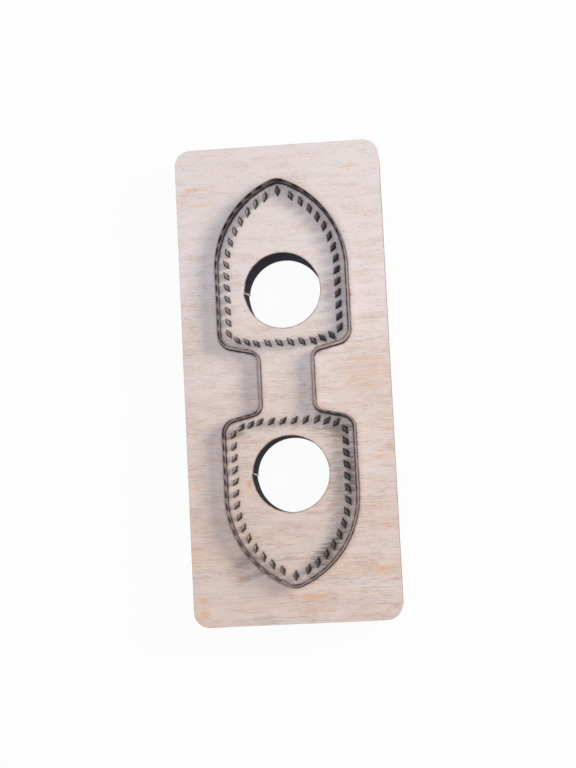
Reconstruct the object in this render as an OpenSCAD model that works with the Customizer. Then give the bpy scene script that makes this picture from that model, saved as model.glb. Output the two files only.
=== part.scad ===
// Steel rule die for a folded leather blank: two pointed panels joined by a neck.
// A bent cutting rule and diamond stitch punches stand in a laser-cut plywood board.
// The board lies on z = 0 with its length along Y, and the cutting edge faces up.

/* [Die board] */
// Width of the board
board_w = 72.5; // [66:0.5:100]
// Length of the board
board_l = 168.5; // [156:0.5:220]
// Thickness of the plywood
board_t = 18; // [12:0.5:20]
// Radius of the board's upright corners
board_r = 5.5; // [1:0.5:10]
// Diameter of a finger hole
hole_d = 26.7; // [16:0.1:30]
// Distance of each finger hole from the middle of the board
hole_y = 32.3; // [31:0.1:38]

/* [Cutting rule] */
// Height of the rule from its foot to its cutting edge
rule_h = 23.8; // [22:0.1:26]
// Thickness of the rule
rule_t = 0.71; // [0.5:0.01:1.1]
// Height of the two bevels that form the cutting edge
bevel_h = 0.9; // [0.5:0.1:1.5]
// Length of the outline from tip to tip, on the rule's centre line
cut_l = 142; // [134:0.5:150]
// Width of a panel, on the rule's centre line
cut_w = 45.8; // [43:0.1:50]
// Radius of the curved flanks, on the rule's centre line
flank_r = 33.6; // [31:0.1:38]
// Radius of the rounded tips, on the rule's centre line
tip_r = 6; // [5:0.5:10]
// Radius of a panel's shoulder corners, on the rule's centre line
corner_r = 5; // [3:0.5:7]
// Slope of the shoulders towards the neck, in degrees
shoulder_angle = 13; // [5:1:20]
// Width of the neck, on the rule's centre line
neck_w = 18.9; // [14:0.1:24]
// Length of the neck, between the shoulder lines
neck_l = 20.8; // [16:0.1:24]
// Radius of the corners between neck and shoulders, on the rule's centre line
neck_r = 3.5; // [2:0.5:5]
// Gap at the butt joint where the two ends of the rule meet, beside the neck
joint_gap = 0.1; // [0.05:0.05:0.5]

/* [Bridges] */
// Length of an uncut bridge of wood across the rule's kerf
bridge_l = 5; // [3:0.5:8]
// Distance of the side bridges from the middle of the board
bridge_y = 25; // [23:0.5:32]
// Place of the flank bridges along the flank arc, in degrees up from the side
bridge_angle = 36; // [20:1:50]

/* [Stitch punches] */
// Long diagonal of a punch's diamond section
punch_l = 3.2; // [2:0.1:3.6]
// Short diagonal of a punch's diamond section
punch_w = 1.3; // [0.8:0.1:1.6]
// Height of a punch from its foot to its point
punch_h = 23.8; // [22:0.1:26]
// Height of the pointed end of a punch
point_h = 2.5; // [1:0.5:4]
// Distance of the stitch line from the rule's centre line
stitch_inset = 3.4; // [2.8:0.1:4]
// Number of punches along each flank, set two by two
flank_count = 14; // [10:2:14]
// Distance of a flank's last punch from the end of the straight side
flank_end = 0.3; // [0:0.1:2]
// Distance from the punch at the tip to the first one of a flank
tip_pitch = 4.9; // [4:0.1:5.5]
// Number of punches in the level part of the row beside the neck
level_count = 6; // [4:2:6]
// Distance between the punches of the level part
level_pitch = 4; // [3:0.1:4.2]
// Number of punches on each sloping end of the row beside the neck
end_count = 2; // [1:1:2]
// Distance of the row's last punches from the flank's stitch line, across the board
row_margin = 2.9; // [2.6:0.1:3.5]
// Slant of the first punches of a flank to the stitch line, in degrees
tip_slant_angle = 42; // [0:1:60]
// Slant of the last punches of a flank to the stitch line, in degrees
side_slant_angle = 30; // [0:1:60]
// Slant of the punches beside the neck to their row, in degrees
row_slant_angle = 48; // [0:1:60]
// Largest turn of a hand-set punch away from its slant, in degrees
hand_turn_angle = 5; // [0:1:8]

/* [Fits] */
// Clearance on each side of the rule in its kerf
kerf_clearance = 0.05; // [0.02:0.01:0.15]
// Clearance on each side of a punch in its pocket
pocket_clearance = 0.05; // [0.02:0.01:0.15]
// Clearance between a notch in the rule and the bridge that it straddles
notch_clearance = 0.3; // [0.1:0.1:0.6]

/* [Hidden] */
$fn = 96;
PANELS = ["upper", "lower"];
SIDES = ["right", "left"];
board_colour = "#dccfc8";
rule_colour = "#6a6569";
punch_colour = "#4b484c";

// A cut runs this far past the faces that it opens
overcut = 1;
// Half the sizes that the outline is mirrored about
side_x = cut_w / 2;
neck_x = neck_w / 2;
// The flank and the tip arcs touch at the angle tip_a, seen from the flank's centre
tip_y = cut_l / 2 - tip_r;
flank_x = side_x - flank_r;
flank_y = tip_y - sqrt(pow(flank_r - tip_r, 2) - pow(flank_x, 2));
tip_a = atan2(tip_y - flank_y, -flank_x);
// The shoulder line turns by the same angle at both of its ends
turn = 90 - shoulder_angle;
shoulder_rise = (side_x - neck_x) * tan(shoulder_angle);
corner_y = neck_l / 2 + shoulder_rise + corner_r * tan(turn / 2);
neck_y = neck_l / 2 - neck_r * tan(turn / 2);
kerf_w = rule_t + 2 * kerf_clearance;
// Bends are drawn in steps that stay this close to the true arc
facet_sag = 0.01;

// The stitch line keeps its distance from the rule round the tip and down the flank
stitch_tip_r = tip_r - stitch_inset;
stitch_flank_r = flank_r - stitch_inset;
stitch_tip_run = stitch_tip_r * (90 - tip_a) * PI / 180;
stitch_flank_run = stitch_flank_r * tip_a * PI / 180;
stitch_side_run = flank_y - corner_y - flank_end;
flank_run = stitch_tip_run + stitch_flank_run + stitch_side_run - tip_pitch;
flank_pitch = flank_run / (flank_count - 1);
// The row beside the neck is level in the middle and slopes with the shoulders at its ends
row_y = neck_l / 2 + stitch_inset;
row_count = level_count + 2 * end_count;
level_x = (level_count - 1) / 2 * level_pitch;
end_pitch = (side_x - stitch_inset - row_margin - level_x) / cos(shoulder_angle) / end_count;
pocket_growth = 1 + pocket_clearance / diamond_inradius();
hand_turns = rands(-hand_turn_angle, hand_turn_angle, 2 * (2 * flank_count + row_count), 7);

// Points round a bend, as [x, y, heading], turning left with hand 1 and right with hand -1.
// A bend that follows straight on from another leaves out the point that they share.
function bend(centre, r, from, to, hand, first = 0) =
    let (steps = ceil(abs(to - from) / (2 * acos(1 - facet_sag / r))))
    [for (i = [first : steps]) let (a = from + (to - from) * i / steps)
        [centre[0] + r * cos(a), centre[1] + r * sin(a), a + 90 * hand]];

// The rule's centre line from the right side of the neck up to the upper tip.
function quarter() = concat(
    bend([neck_x + neck_r, neck_y], neck_r, 180, 180 - turn, -1),
    bend([side_x - corner_r, corner_y], corner_r, -turn, 0, 1),
    bend([flank_x, flank_y], flank_r, 0, tip_a, 1),
    bend([0, tip_y], tip_r, tip_a, 90, 1, 1)
);

// The whole centre line: over the upper tip to the left side, and back under the lower tip.
function outline() =
    let (right = quarter())
    let (left = [for (i = [len(right) - 2 : -1 : 0]) [-right[i][0], right[i][1], -right[i][2]]])
    let (upper = concat(right, left))
    concat(upper, [for (p = upper) [-p[0], -p[1], p[2] + 180]]);

// The outline moved sideways, outwards if positive.
function beside_outline(d) = [for (p = outline()) [p[0] + d * sin(p[2]), p[1] - d * cos(p[2])]];

// Section of a flat strip with a bevel on each side of its upper edge.
function edged_section(half, height, bevel) =
    [[-half, 0], [half, 0], [half, height - bevel], [0, height], [-half, height - bevel]];

function diamond_inradius() = punch_l * punch_w / 2 / norm([punch_l, punch_w]);

// Place of a punch on the right flank: x, y and the angle of its long diagonal.
function flank_place(i) =
    let (s = tip_pitch + i * flank_pitch)
    let (slant = tip_slant_angle + (side_slant_angle - tip_slant_angle) * i / (flank_count - 1))
    let (a = tip_a - (s - stitch_tip_run) / stitch_flank_r * 180 / PI)
    let (down = s - stitch_tip_run - stitch_flank_run)
    down < 0
    ? [flank_x + stitch_flank_r * cos(a), flank_y + stitch_flank_r * sin(a), a - 90 - slant]
    : [side_x - stitch_inset, flank_y - down, -90 - slant];

// Place of a punch in the row beside the neck, counted from the left.
function row_place(i) =
    let (side = i < row_count / 2 ? -1 : 1)
    let (k = abs(i - (row_count - 1) / 2) + 0.5)
    let (level = min(k, level_count / 2))
    let (slope = (k - level) * end_pitch)
    let (x = (level - 0.5) * level_pitch + slope * cos(shoulder_angle))
    [side * x, row_y + slope * sin(shoulder_angle), -row_slant_angle];

function flipped(p) = [-p[0], p[1], 180 - p[2]];
function turned(p, i, panel) =
    [p[0], p[1], p[2] + hand_turns[i + (panel == "lower" ? 2 * flank_count + row_count : 0)]];

function tip_places() = [[0, cut_l / 2 - stitch_inset, 90]];
function right_places(panel) = [for (i = [0 : flank_count - 1]) turned(flank_place(i), i, panel)];
function left_places(panel) =
    [for (i = [0 : flank_count - 1]) turned(flipped(flank_place(i)), flank_count + i, panel)];
function row_places(panel) =
    [for (i = [0 : row_count - 1]) turned(row_place(i), 2 * flank_count + i, panel)];
function side_places(panel, side) = side == "left" ? left_places(panel) : right_places(panel);
function all_places(panel) =
    concat(tip_places(), right_places(panel), left_places(panel), row_places(panel));
function pair(places, n) = [places[2 * n - 2], places[2 * n - 1]];

function tip_name(panel) = str(panel, "_tip_punch");
function side_name(panel, side, n) = str(panel, "_", side, "_punches_", n);
function row_name(panel, n) = str(panel, "_row_punches_", n);

// Both panels are alike, so the lower one is the upper one mirrored.
module on_panel(panel) {
    mirror([0, panel == "lower" ? 1 : 0, 0]) children();
}

module both_ways(axis) {
    children();
    mirror(axis) children();
}

// Carries an upright section along a path of [x, y, heading] points, as one closed strip.
module strip(path, section) {
    m = len(section);
    last = len(path) - 1;
    polyhedron(
        points = [for (p = path) for (q = section)
            [p[0] + q[0] * sin(p[2]), p[1] - q[0] * cos(p[2]), q[1]]],
        faces = concat(
            [[for (j = [m - 1 : -1 : 0]) j], [for (j = [0 : m - 1]) last * m + j]],
            [for (i = [0 : last - 1]) for (j = [0 : m - 1])
                [i * m + j, i * m + (j + 1) % m, (i + 1) * m + (j + 1) % m, (i + 1) * m + j]]
        )
    );
}

// Blocks across the outline at each bridge, from below the board up to a height.
module bridge_blocks(length, top) {
    width = kerf_w + 2 * overcut;
    both_ways([0, 1, 0]) both_ways([1, 0, 0]) {
        translate([side_x, bridge_y]) bridge_block(width, length, top);
        translate([flank_x, flank_y]) rotate(bridge_angle) translate([flank_r, 0])
            bridge_block(width, length, top);
    }
}

module bridge_block(width, length, top) {
    translate([-width / 2, -length / 2, -2 * overcut]) cube([width, length, top + 2 * overcut]);
}

// The laser's cut for the rule stops at each bridge.
module kerf() {
    difference() {
        translate([0, 0, -overcut]) linear_extrude(board_t + 2 * overcut) difference() {
            polygon(beside_outline(kerf_w / 2));
            polygon(beside_outline(-kerf_w / 2));
        }
        bridge_blocks(bridge_l, board_t + 2 * overcut);
    }
}

module finger_holes() {
    for (y = [-hole_y, hole_y]) translate([0, y, -overcut])
        cylinder(d = hole_d, h = board_t + 2 * overcut);
}

module pockets() {
    pocket_l = punch_l * pocket_growth;
    pocket_w = punch_w * pocket_growth;
    for (panel = PANELS) on_panel(panel) for (p = all_places(panel))
        translate([p[0], p[1], -overcut]) rotate(p[2]) linear_extrude(board_t + 2 * overcut)
            polygon([[pocket_l / 2, 0], [0, pocket_w / 2], [-pocket_l / 2, 0], [0, -pocket_w / 2]]);
}

module board_blank() {
    inner_w = board_w - 2 * board_r;
    inner_l = board_l - 2 * board_r;
    linear_extrude(board_t) union() {
        square([board_w, inner_l], center = true);
        square([inner_w, board_l], center = true);
        for (x = [-0.5, 0.5]) for (y = [-0.5, 0.5]) translate([x * inner_w, y * inner_l]) circle(board_r);
    }
}

module die_board() {
    color(board_colour) difference() {
        board_blank();
        finger_holes();
        kerf();
        pockets();
    }
}

// One strip, bent to the outline, notched over the bridges and open at its butt joint.
module cutting_rule() {
    joint = [for (y = [joint_gap / 2, -joint_gap / 2]) [neck_x, y, 90]];
    color(rule_colour) difference() {
        strip(concat([joint[0]], outline(), [joint[1]]), edged_section(rule_t / 2, rule_h, bevel_h));
        bridge_blocks(bridge_l + 2 * notch_clearance, board_t + notch_clearance);
    }
}

// Half of a punch's facets: a wall along one side of the diamond, with a ridged roof.
// The long diagonal lies along X, and the sides run at side_angle to it.
module punch_wall(side_angle) {
    rotate([90, 0, 90 + side_angle]) linear_extrude(2 * punch_l, center = true)
        polygon(edged_section(diamond_inradius(), punch_h, point_h));
}

// A diamond shank with a four-sided point: where two crossed walls meet.
module punch() {
    side_angle = atan2(punch_w, punch_l);
    color(punch_colour) intersection() {
        punch_wall(side_angle);
        punch_wall(-side_angle);
    }
}

module punches(panel, places) {
    on_panel(panel) for (p = places) translate([p[0], p[1]]) rotate(p[2]) punch();
}

die_board();
cutting_rule();
for (panel = PANELS) {
    punches(panel, tip_places());
    for (side = SIDES) for (n = [1 : flank_count / 2])
        punches(panel, pair(side_places(panel, side), n));
    for (n = [1 : row_count / 2])
        punches(panel, pair(row_places(panel), n));
}
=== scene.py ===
"""Looks of a steel rule die: a plywood board, a bent cutting rule and rows of stitch punches."""

from __future__ import annotations

import logging
import math
from dataclasses import dataclass, field
from enum import Enum
from typing import Any

import bmesh
import bpy
import numpy as np
from mathutils import Matrix, Vector
from mathutils.geometry import delaunay_2d_cdt


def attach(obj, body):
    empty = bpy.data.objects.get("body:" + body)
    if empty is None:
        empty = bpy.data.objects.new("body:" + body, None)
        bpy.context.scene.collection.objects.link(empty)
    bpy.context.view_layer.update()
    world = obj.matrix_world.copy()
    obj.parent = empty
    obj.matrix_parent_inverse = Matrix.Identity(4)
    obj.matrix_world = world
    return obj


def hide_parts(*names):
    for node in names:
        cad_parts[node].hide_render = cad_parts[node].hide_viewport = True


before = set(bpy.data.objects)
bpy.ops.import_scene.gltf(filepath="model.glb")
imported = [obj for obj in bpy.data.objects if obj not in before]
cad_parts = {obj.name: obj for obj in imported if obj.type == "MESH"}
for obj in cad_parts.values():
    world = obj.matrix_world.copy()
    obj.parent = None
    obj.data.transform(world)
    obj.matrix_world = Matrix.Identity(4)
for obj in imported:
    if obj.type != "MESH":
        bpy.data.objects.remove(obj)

LOG = logging.getLogger("steel_rule_die")
MM = 0.001
BODY = "root"
# Names of the attributes that meshes hand on to trees and materials
CUT_ATTRIBUTE = "cut_mm"
ALONG_ATTRIBUTE = "along"
SHADE_ATTRIBUTE = "shade"
RIDGE_ATTRIBUTE = "ridge_mm"
FOOT_ATTRIBUTE = "foot"
TURN_ATTRIBUTE = "turn"
# Heights that pieces and finishes share, in millimetres
BOARD_MM = 18.0
TOOL_MM = 23.8
BEVEL_MM = 0.9
POINT_MM = 2.5
# Points of a mesh that are nearer than this are merged, in millimetres
MERGE_MM = 0.001
# Places along the rule that are tried for the middle of a bridge
PATH_TRIES = 40000
# Inputs of a map range: the two limits of its value, then the two of its result
RAMP = (1, 2, 3, 4)
Ramp = tuple[float, float, float, float]
Triple = tuple[float, float, float]


class Wall(Enum):
    """What made an upright wall of the board, as the index of its material."""

    FACE = 0
    SAWN = 1
    BURNT = 2
    TORN = 3


class Panel(Enum):
    """The two pointed panels of the blank, as the sign of their side of the board."""

    UPPER = 1
    LOWER = -1


class Spread(Enum):
    """Where on the veneer a figure of its grain stands out."""

    PATCHES = "patches all over"
    RIPE_PATCHES = "patches, stronger at the lower end"
    LOWER_END = "lower end"


def linear(colour: str) -> tuple[float, float, float, float]:
    """Turns an sRGB hex colour to linear light.

    Args:
        colour: The colour as "#rrggbb".

    Returns:
        Red, green, blue and an alpha of 1.
    """
    parts = [int(colour[i : i + 2], 16) / 255 for i in (1, 3, 5)]
    red, green, blue = [c / 12.92 if c <= 0.04045 else ((c + 0.055) / 1.055) ** 2.4 for c in parts]
    return red, green, blue, 1.0


def from_mm(ramp: Ramp) -> Ramp:
    """A ramp over metres, from one over millimetres."""
    return ramp[0] * MM, ramp[1] * MM, ramp[2], ramp[3]


def add(
    tree: bpy.types.NodeTree, kind: str, inputs: dict[Any, Any] | None = None, **settings: Any
) -> bpy.types.Node:
    """Adds a node with its settings and links.

    Args:
        tree: The tree that gets the node.
        kind: The node's type name.
        inputs: Values, nodes or output sockets, by the input's name or number. Several numbers take
            as many values.
        settings: The node's own properties.

    Returns:
        The new node.
    """
    node = tree.nodes.new(kind)
    for name, value in settings.items():
        setattr(node, name, value)
    for key, given in (inputs or {}).items():
        pairs = zip(key, given) if isinstance(key, tuple) else [(key, given)]
        for name, value in pairs:
            named = [s for s in node.inputs if s.enabled and s.name == name]
            socket = named[0] if named else node.inputs[name]
            if isinstance(value, bpy.types.Node):
                value = next(s for s in value.outputs if s.enabled)
            if isinstance(value, bpy.types.NodeSocket):
                tree.links.new(value, socket)
            else:
                socket.default_value = value
    return node


def new_material(name: str) -> tuple[bpy.types.Material, bpy.types.NodeTree]:
    """Makes a material with an empty node tree.

    Args:
        name: The material's name.

    Returns:
        The material and its tree.
    """
    material = bpy.data.materials.new(name)
    material.use_nodes = True
    material.node_tree.nodes.clear()
    return material, material.node_tree


def close_surface(
    tree: bpy.types.NodeTree, height: bpy.types.Node, relief: tuple[float, float], inputs: dict[str, Any]
) -> None:
    """Ends a material with its relief, its shader and its output.

    Args:
        tree: The material's tree.
        height: The pattern that raises the surface.
        relief: How strongly the relief shows, and its depth in millimetres.
        inputs: The shader's own values and links.
    """
    strength, depth = relief
    bump = add(tree, "ShaderNodeBump", {"Strength": strength, "Distance": depth * MM, "Height": height})
    shader = add(tree, "ShaderNodeBsdfPrincipled", {**inputs, "Normal": bump})
    add(tree, "ShaderNodeOutputMaterial", {"Surface": shader})


@dataclass(frozen=True)
class Mottle:
    """An uneven pattern, by the real size of its marks in millimetres and how finely they break up."""

    size_mm: Triple
    detail: float

    def on(self, tree: bpy.types.NodeTree, place: Any) -> bpy.types.Node:
        """Lays the pattern over a surface.

        Args:
            tree: The material's tree.
            place: The node or socket that gives each spot's place, in metres.

        Returns:
            The node that gives the pattern.
        """
        scale = tuple(1 / (size * MM) for size in self.size_mm)
        scaled = add(tree, "ShaderNodeMapping", {"Vector": place, "Scale": scale})
        return add(tree, "ShaderNodeTexNoise", {"Vector": scaled, "Scale": 1.0, "Detail": self.detail})


@dataclass(frozen=True)
class Figure(Mottle):
    """A figure of the wood's grain: how much of its pattern shows, its tint and where it stands out."""

    shown: Ramp
    tint: str
    spread: Spread


@dataclass(frozen=True)
class FaceMark:
    """A soft mark on the board's face, for some a stain and for others painted shade: its place and half
    sizes in millimetres, and its turn in degrees.
    """

    x: float
    y: float
    half_x: float
    half_y: float
    strength: float
    tint: str = "#dda677"
    turn: float = 0.0


@dataclass(frozen=True)
class VeneerFinish:
    """Sanded birch veneer, unsealed. It is matt and pale, with short fine streaks across the board."""

    name: str = "sanded_birch_veneer"
    pale: str = "#e6dbd6"
    warm: str = "#dac3b2"
    scorch: str = "#6b4c3c"
    char: str = "#1b171e"
    roughness: float = 0.72
    ior: float = 1.53
    relief: tuple[float, float] = (0.25, 0.05)
    tone: Mottle = Mottle((70.0, 26.0, 26.0), 1.0)
    patch: Mottle = Mottle((9.0, 3.2, 3.2), 2.0)
    wave: Mottle = Mottle((24.0, 9.0, 9.0), 2.0)
    wave_reach_mm: float = 1.1
    band: Figure = Figure((34.0, 7.0, 7.0), 2.0, (0.46, 0.68, 0.0, 0.65), "#dcbf9c", Spread.LOWER_END)
    swirl: Figure = Figure((20.0, 2.4, 2.4), 3.0, (0.46, 0.7, 0.0, 0.5), "#dcc0ae", Spread.RIPE_PATCHES)
    # Birch fibres and pores are about 0.1 mm wide, too fine to show, so these three are drawn coarser
    line: Figure = Figure((26.0, 0.42, 0.42), 2.0, (0.5, 0.75, 0.0, 0.32), "#ab968f", Spread.RIPE_PATCHES)
    streak: Figure = Figure((3.6, 0.34, 0.34), 5.0, (0.46, 0.76, 0.0, 0.45), "#ab968f", Spread.RIPE_PATCHES)
    pore: Figure = Figure((1.3, 0.5, 0.5), 2.0, (0.5, 0.72, 0.0, 0.26), "#ab968f", Spread.PATCHES)
    fleck: Figure = Figure((5.0, 1.2, 1.2), 2.0, (0.6, 0.78, 0.0, 0.4), "#dda677", Spread.RIPE_PATCHES)
    patch_share: Ramp = (0.35, 0.65, 0.35, 1.5)
    # Ramps up the board, from places in millimetres
    pale_rise: Ramp = (-70.0, 70.0, -0.25, 0.62)
    ripe_fall: Ramp = (-70.0, 60.0, 1.6, 0.5)
    yellow_fall: Ramp = (-70.0, 40.0, 0.8, 0.1)
    # How far flecks and streaks pull the edge of a mark, and where it starts and is full
    fleck_pull: float = -2.4
    streak_pull: float = -2.0
    mark_edge: tuple[float, float] = (-1.2, -2.1)
    mark_depth_mm: float = 4.0
    # Burn by the distance from a cut, in millimetres
    smoke: Mottle = Mottle((1.6, 1.6, 1.6), 3.0)
    smoke_mm: float = 0.45
    scorch_fade: Ramp = (0.4, 1.0, 0.6, 0.0)
    char_fade: Ramp = (0.36, 0.62, 0.96, 0.0)
    marks_and_painted_shade: tuple[FaceMark, ...] = (
        # Warm fields beside the neck and along the lower end
        FaceMark(29.0, 2.0, 13.0, 15.0, 0.5, "#d6b498"),
        FaceMark(8.0, -78.0, 30.0, 7.0, 0.25, "#d6b69e"),
        # Smoke of the laser beside the cuts, darkened further as painted shade where the rule and the punches
        # cast shadow: between the rule and the right punches, left of those punches, in the inner corners
        # under the shoulders and beside the lower flanks
        FaceMark(-16.5, -67.6, 7.5, 1.5, 0.5, "#8a6656", 17.0),
        FaceMark(17.0, -36.0, 5.0, 17.0, 0.4, "#a88670"),
        FaceMark(20.6, 33.0, 2.2, 20.0, 0.3, "#757080"),
        FaceMark(16.0, 30.5, 3.0, 7.0, 0.35, "#a58c84"),
        FaceMark(20.8, -33.0, 2.2, 17.0, 0.65, "#5f4d47"),
        FaceMark(16.5, -17.6, 8.0, 2.8, 0.65, "#6f5c54"),
        FaceMark(-18.0, -18.0, 5.0, 2.2, 0.5, "#7d655a"),
        FaceMark(11.5, -59.6, 12.0, 3.2, 0.75, "#6f5a50", 47.0),
        FaceMark(-17.8, -62.0, 7.5, 3.0, 0.5, "#86695d", 25.0),
        # Dark grain in the lower panel and at its right flank
        FaceMark(8.0, -46.0, 9.0, 0.9, 0.45, "#a98570"),
        FaceMark(3.0, -51.0, 10.0, 1.2, 0.35, "#b9957d"),
        FaceMark(-1.5, -61.5, 6.0, 0.9, 0.45, "#a98570"),
        FaceMark(16.0, -60.5, 8.0, 2.0, 0.35, "#c08a5e", 52.0),
        # A pale field at the lower left corner
        FaceMark(-27.0, -77.0, 13.0, 8.0, 0.5, "#e2d0c6"),
        # Orange marks of sap, and a small one beside the rule at the end
        FaceMark(-32.5, 68.0, 5.0, 1.1, 0.5),
        FaceMark(-27.0, 64.3, 5.0, 1.0, 0.3),
        FaceMark(27.0, 75.0, 7.0, 0.8, 0.45),
        FaceMark(-14.6, -35.2, 1.3, 2.4, 0.75, "#c79a5c"),
        FaceMark(-16.0, -38.0, 4.5, 2.4, 0.4, "#e0b78c"),
        FaceMark(33.0, -27.7, 4.5, 1.6, 0.6),
        FaceMark(7.2, -75.0, 7.0, 1.2, 0.55),
        FaceMark(-32.4, -79.4, 2.4, 2.6, 0.65),
        FaceMark(-33.3, -36.0, 2.6, 1.5, 0.5),
        FaceMark(-30.0, 70.0, 6.0, 1.0, 0.5),
        FaceMark(31.0, -66.5, 4.0, 1.6, 0.7),
        FaceMark(-32.5, -75.0, 2.2, 1.6, 0.6),
        FaceMark(23.75, 30.2, 0.55, 1.5, 0.9, "#a86b4a"),
    )

    def material(self) -> bpy.types.Material:
        """Builds the veneer, with its stains, its painted shade and the scorched lines beside every laser
        cut.

        Returns:
            The material.
        """
        material, tree = new_material(self.name)
        place = add(tree, "ShaderNodeTexCoord").outputs["Object"]
        # The grain wanders a little, as it does in veneer peeled from a round log
        wave = self.wave.on(tree, place)
        reach = self.wave_reach_mm * MM
        drift = add(tree, "ShaderNodeMapRange", {"Value": wave, RAMP: (0.0, 1.0, -reach, reach)})
        sideways = add(tree, "ShaderNodeCombineXYZ", {"Y": drift})
        wavy = add(tree, "ShaderNodeVectorMath", {0: place, 1: sideways}, operation="ADD")
        figures = (self.band, self.swirl, self.line, self.streak, self.pore, self.fleck)
        laid = {figure: figure.on(tree, wavy) for figure in figures}
        colour = self.grained(tree, place, wavy, laid)
        colour = self.marked_and_shaded(tree, place, laid, colour)
        colour = self.burnt_and_shaded(tree, place, colour)
        shown = {"Base Color": colour, "Roughness": self.roughness, "IOR": self.ior}
        close_surface(tree, laid[self.streak], self.relief, shown)
        return material

    def grained(
        self,
        tree: bpy.types.NodeTree,
        place: bpy.types.NodeSocket,
        wavy: bpy.types.Node,
        laid: dict[Figure, bpy.types.Node],
    ) -> bpy.types.Node:
        """Builds the clean wood.

        Args:
            tree: The material's tree.
            place: Each spot's place.
            wavy: The same place, moved along the wandering grain.
            laid: The patterns of the grain's figures, in the order in which they are laid.

        Returns:
            The node that gives the colour.
        """
        up = add(tree, "ShaderNodeSeparateXYZ", {0: place}).outputs["Y"]
        rise, ripe, yellowed = [
            add(tree, "ShaderNodeMapRange", {"Value": up, RAMP: from_mm(ramp)})
            for ramp in (self.pale_rise, self.ripe_fall, self.yellow_fall)
        ]
        # The sheet is warmer towards its lower end, in broad uneven bands
        broad = self.tone.on(tree, wavy)
        tone = add(tree, "ShaderNodeMath", {0: rise, 1: broad}, operation="ADD", use_clamp=True)
        ends = {"Factor": tone, "A": linear(self.warm), "B": linear(self.pale)}
        colour = add(tree, "ShaderNodeMix", ends, data_type="RGBA")
        # The grain stands out more towards that end, and comes and goes in patches
        patchy = add(tree, "ShaderNodeMapRange", {"Value": self.patch.on(tree, wavy), RAMP: self.patch_share})
        spreads = {
            Spread.PATCHES: patchy,
            Spread.RIPE_PATCHES: add(tree, "ShaderNodeMath", {0: ripe, 1: patchy}, operation="MULTIPLY"),
            Spread.LOWER_END: yellowed,
        }
        for figure, pattern in laid.items():
            shown = add(tree, "ShaderNodeMapRange", {"Value": pattern, RAMP: figure.shown})
            both = {0: shown, 1: spreads[figure.spread]}
            share = add(tree, "ShaderNodeMath", both, operation="MULTIPLY", use_clamp=True)
            coat = {"Factor": share, "A": colour, "B": linear(figure.tint)}
            colour = add(tree, "ShaderNodeMix", coat, data_type="RGBA")
        return colour

    def marked_and_shaded(
        self,
        tree: bpy.types.NodeTree,
        place: bpy.types.NodeSocket,
        laid: dict[Figure, bpy.types.Node],
        colour: bpy.types.Node,
    ) -> bpy.types.Node:
        """Lays the marks on the wood, stains and painted shade, with edges that the grain draws out.

        Args:
            tree: The material's tree.
            place: Each spot's place.
            laid: The patterns of the grain's figures.
            colour: The clean wood.

        Returns:
            The node that gives the colour.
        """
        for face_mark in self.marks_and_painted_shade:
            near = add(
                tree,
                "ShaderNodeMapping",
                {
                    "Vector": place,
                    "Location": (face_mark.x * MM, face_mark.y * MM, BOARD_MM * MM),
                    "Rotation": (0.0, 0.0, math.radians(face_mark.turn)),
                    "Scale": (face_mark.half_x * MM, face_mark.half_y * MM, self.mark_depth_mm * MM),
                },
                vector_type="TEXTURE",
            )
            far = add(tree, "ShaderNodeVectorMath", {0: near}, operation="LENGTH").outputs["Value"]
            for figure, pull in ((self.fleck, self.fleck_pull), (self.streak, self.streak_pull)):
                drawn = {0: laid[figure], 1: pull, 2: far}
                far = add(tree, "ShaderNodeMath", drawn, operation="MULTIPLY_ADD")
            edge = (*self.mark_edge, 0.0, face_mark.strength)
            share = add(tree, "ShaderNodeMapRange", {"Value": far, RAMP: edge})
            coat = {"Factor": share, "A": colour, "B": linear(face_mark.tint)}
            colour = add(tree, "ShaderNodeMix", coat, data_type="RGBA")
        return colour

    def burnt_and_shaded(
        self, tree: bpy.types.NodeTree, place: bpy.types.NodeSocket, colour: bpy.types.Node
    ) -> bpy.types.Node:
        """Lays the laser's marks on the wood: a black lip at each cut and a brown fringe beyond it. Both also
        paint shade, where the cut distance is shifted below the kerf and beside the right pockets.

        Args:
            tree: The material's tree.
            place: Each spot's place.
            colour: The stained wood.

        Returns:
            The node that gives the colour.
        """
        cut = add(tree, "ShaderNodeAttribute", attribute_name=CUT_ATTRIBUTE).outputs["Fac"]
        uneven = {0: self.smoke.on(tree, place), 1: self.smoke_mm, 2: cut}
        off = add(tree, "ShaderNodeMath", uneven, operation="MULTIPLY_ADD")
        for tint, fade in ((self.scorch, self.scorch_fade), (self.char, self.char_fade)):
            share = add(tree, "ShaderNodeMapRange", {"Value": off, RAMP: fade})
            coat = {"Factor": share, "A": colour, "B": linear(tint)}
            colour = add(tree, "ShaderNodeMix", coat, data_type="RGBA")
        return colour


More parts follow.
